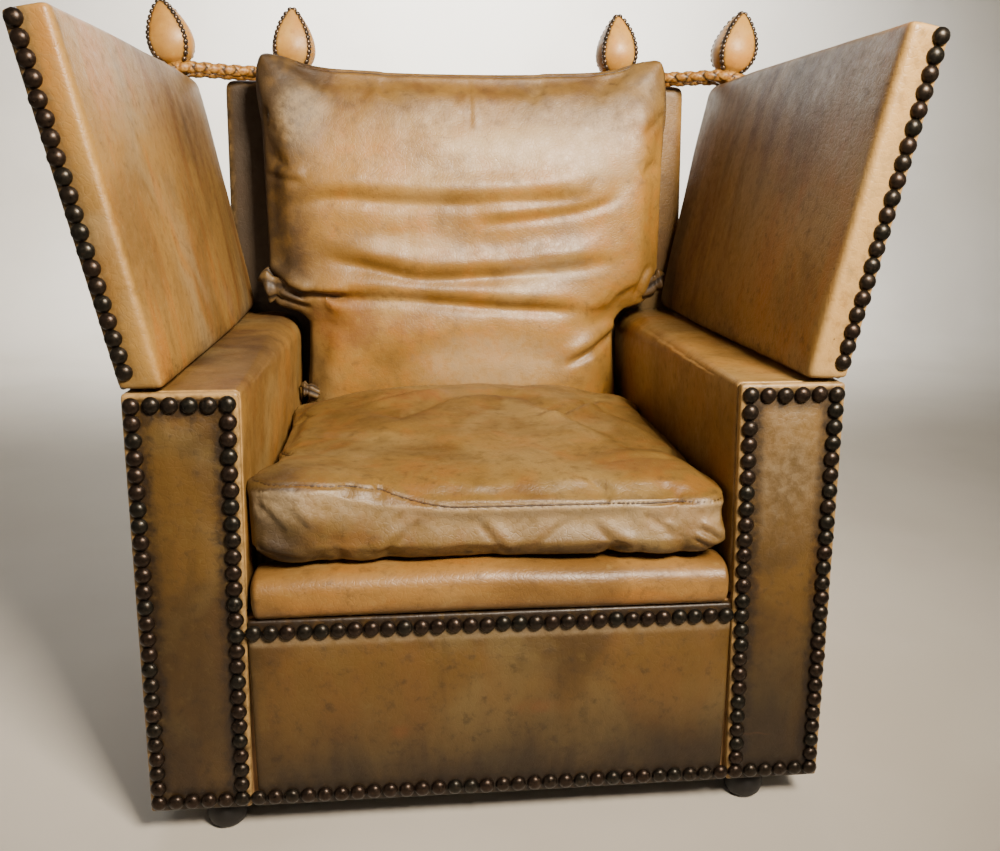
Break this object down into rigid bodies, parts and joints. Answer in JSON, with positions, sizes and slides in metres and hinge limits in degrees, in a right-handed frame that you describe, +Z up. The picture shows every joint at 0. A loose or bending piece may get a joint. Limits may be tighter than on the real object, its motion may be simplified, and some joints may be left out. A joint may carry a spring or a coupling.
{
  "type": "knole armchair",
  "caption": "Deep square leather armchair with hinged drop sides held up by plaited cords round finials, loose seat and back cushions and rows of domed nails.",
  "frame": {"origin": "on the floor below the middle of the chair's bounding box", "axes": "+Z up, +X to the right of someone who looks at the chair's front, +Y from the front to the back"},
  "size_m": [1.0958, 0.8696, 1.1613],
  "materials": {
    "tan_leather": "satin",
    "cushion_leather": "satin",
    "finial_leather": "satin",
    "plaited_leather": "satin",
    "antique_bronze": "satin",
    "beech": "matte",
    "dark_wood": "satin",
    "hinge_steel": "satin",
    "spring_wire": "satin",
    "jute_webbing": "matte",
    "platform_cloth": "matte",
    "black_lining": "matte"
  },
  "bodies": {
    "chair": {"apron_panel": "tan_leather", "apron_studs": "antique_bronze", "arm_cover_left": "tan_leather", "arm_cover_right": "tan_leather", "arm_facing_left": "tan_leather", "arm_facing_right": "tan_leather", "arm_rail_left": "beech", "arm_rail_right": "beech", "arm_studs_left": "antique_bronze", "arm_studs_right": "antique_bronze", "back_cover": "tan_leather", "back_finial_left": "finial_leather", "back_finial_right": "finial_leather", "back_post_left": "beech", "back_post_right": "beech", "back_rail": "beech", "back_top_rail": "beech", "base_studs": "antique_bronze", "cord_inner_left": "plaited_leather", "cord_inner_right": "plaited_leather", "dust_cover": "black_lining", "foot_back_left": "dark_wood", "foot_back_right": "dark_wood", "foot_front_left": "dark_wood", "foot_front_right": "dark_wood", "front_post_left": "beech", "front_post_right": "beech", "front_rail": "beech", "hinge_arm_leaf_left": "hinge_steel", "hinge_arm_leaf_right": "hinge_steel", "hinge_pin_left": "hinge_steel", "hinge_pin_right": "hinge_steel", "outside_back": "tan_leather", "seat_platform": "platform_cloth", "seat_roll": "tan_leather", "seat_webbing": "jute_webbing", "side_rail_left": "beech", "side_rail_right": "beech", "spring_1": "spring_wire", "spring_2": "spring_wire", "spring_3": "spring_wire", "spring_4": "spring_wire", "spring_5": "spring_wire", "spring_6": "spring_wire"},
    "wing_left": {"hinge_wing_leaf_left": "hinge_steel", "wing_board_left": "beech", "wing_cover_left": "tan_leather", "wing_finial_left": "finial_leather", "wing_studs_left": "antique_bronze"},
    "wing_right": {"hinge_wing_leaf_right": "hinge_steel", "wing_board_right": "beech", "wing_cover_right": "tan_leather", "wing_finial_right": "finial_leather", "wing_studs_right": "antique_bronze"},
    "cord_left": {"cord_outer_left": "plaited_leather"},
    "cord_right": {"cord_outer_right": "plaited_leather"},
    "seat_cushion": {"seat_cushion": "cushion_leather"},
    "back_cushion": {"back_cushion": "cushion_leather"}
  },
  "joints": [
    {"name": "wing_left_drop", "type": "hinge", "parent": "chair", "child": "wing_left", "pos_m": [-0.4478, 0, 0.6105], "axis": [0, -1, 0], "range_deg": [0, 79], "deforming": ["cord_outer_left"]},
    {"name": "wing_right_drop", "type": "hinge", "parent": "chair", "child": "wing_right", "pos_m": [0.4478, 0, 0.6105], "axis": [0, 1, 0], "range_deg": [0, 79], "deforming": ["cord_outer_right"]},
    {"name": "cord_left_swing", "type": "hinge", "parent": "chair", "child": "cord_left", "pos_m": [-0.427, 0, 1.03], "axis": [0, -1, 0], "range_deg": [0, 86], "deforming": ["cord_outer_left"]},
    {"name": "cord_right_swing", "type": "hinge", "parent": "chair", "child": "cord_right", "pos_m": [0.427, 0, 1.03], "axis": [0, 1, 0], "range_deg": [0, 86], "deforming": ["cord_outer_right"]},
    {"name": "seat_cushion_lift", "type": "slide", "parent": "chair", "child": "seat_cushion", "axis": [0, -0.866, 0.5], "range_m": [0, 0.3]},
    {"name": "back_cushion_lift", "type": "slide", "parent": "chair", "child": "back_cushion", "axis": [0, 0, 1], "range_m": [0, 0.3]}
  ],
  "couplings": [
    {"joint": "cord_left_swing", "follows": "wing_left_drop", "ratio": 1.08},
    {"joint": "cord_right_swing", "follows": "wing_right_drop", "ratio": 1.08}
  ]
}
